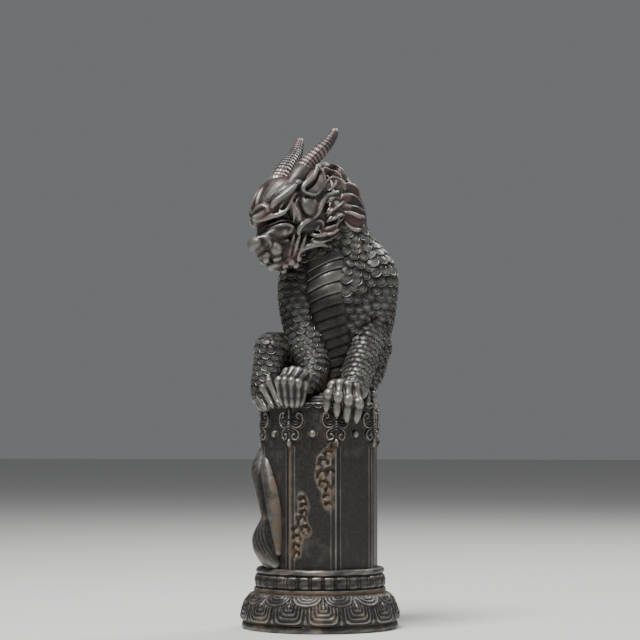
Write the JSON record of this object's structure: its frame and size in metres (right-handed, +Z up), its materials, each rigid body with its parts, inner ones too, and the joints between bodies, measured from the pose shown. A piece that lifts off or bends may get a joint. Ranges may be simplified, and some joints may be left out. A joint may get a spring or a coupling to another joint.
{
  "type": "qilin statue",
  "caption": "Horned, scaled qilin seated on an eight-sided column with a lotus foot, cast in patinated brass.",
  "frame": {"origin": "centre of the underside of the foot", "axes": "+Z up; -Y out of the column's front face, towards the viewer"},
  "size_m": [0.0702, 0.0706, 0.2203],
  "materials": {
    "patinated_brass": "dark brown patina, polished on the high points, with ochre dust in the recesses"
  },
  "bodies": {
    "root": {"qilin_statue": "patinated_brass"}
  },
  "joints": []
}
